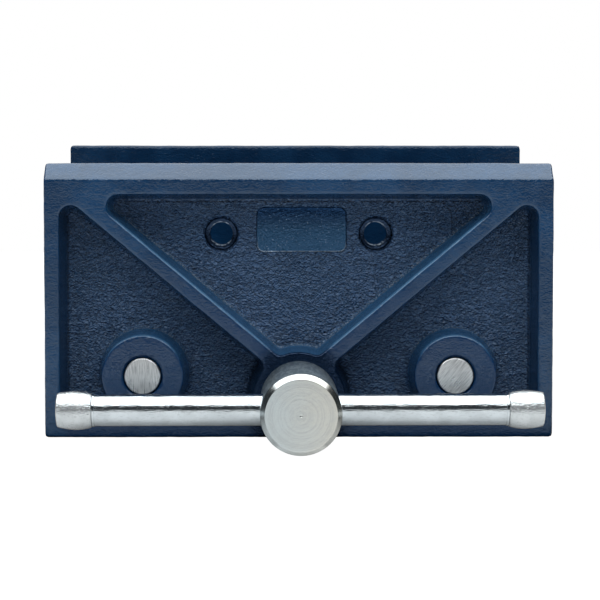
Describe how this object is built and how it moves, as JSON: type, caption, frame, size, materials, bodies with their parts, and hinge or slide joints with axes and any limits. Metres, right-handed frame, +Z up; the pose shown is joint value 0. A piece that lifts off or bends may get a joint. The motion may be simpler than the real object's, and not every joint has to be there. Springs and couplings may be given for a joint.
{
  "type": "woodworking vise",
  "caption": "Under-bench woodworking vise: cast jaws, a plain turning screw with a sliding handle, and guide rods tied by a rear plate.",
  "frame": {"origin": "middle of the four bench bolt holes, on the face that is bolted up against the bench", "axes": "+X across the jaws to the user's right, +Y from the user towards the bench along the screw, +Z up"},
  "size_m": [0.1778, 0.2763, 0.1039],
  "materials": {
    "jaw_paint": "navy blue paint over rough sand-cast iron, glossy, slightly wrinkled",
    "ground_steel": "ground bright, fine scratches",
    "turned_steel": "turned, fine concentric tool marks",
    "rolled_steel": "rolled thread, lightly oiled",
    "bright_bar": "bright drawn and plated, soft reflections",
    "pressed_cap": "plated, slightly mottled",
    "bronze": "sintered bronze, dull",
    "zinc_plate": "zinc plated, satin",
    "nut_iron": "cast iron, machined ends"
  },
  "bodies": {
    "fixed_jaw": {"rear_jaw": "jaw_paint", "main_nut": "nut_iron", "nut_screws": "zinc_plate", "nut_lock_washers": "zinc_plate"},
    "moving_jaw": {"front_jaw": "jaw_paint", "guide_rod_left": "ground_steel", "guide_rod_right": "ground_steel", "rod_pins": "ground_steel", "thrust_washer": "turned_steel", "retaining_washer": "turned_steel", "tie_plate": "jaw_paint", "tail_bush": "bronze", "tie_lock_washers": "zinc_plate", "tie_nuts": "zinc_plate"},
    "screw": {"main_screw": "rolled_steel", "screw_head": "turned_steel", "head_pin": "ground_steel", "screw_collar": "turned_steel", "collar_pin": "ground_steel"},
    "handle": {"handle_bar": "bright_bar", "handle_cap_left": "pressed_cap", "handle_cap_right": "pressed_cap"}
  },
  "joints": [
    {"name": "jaw_slide", "type": "slide", "parent": "fixed_jaw", "child": "moving_jaw", "axis": [0, -1, 0], "range_m": [-0.0698, 0.0445]},
    {"name": "screw_turn", "type": "hinge", "parent": "moving_jaw", "child": "screw", "pos_m": [0, -0.1338, -0.03145], "axis": [0, -1, 0], "range_deg": [-6280, 4003]},
    {"name": "handle_slide", "type": "slide", "parent": "screw", "child": "handle", "axis": [1, 0, 0.0014], "range_m": [-0.0543, 0.0543]}
  ],
  "couplings": [
    {"joint": "jaw_slide", "follows": "screw_turn", "m_per_rad": 0.00063662}
  ]
}
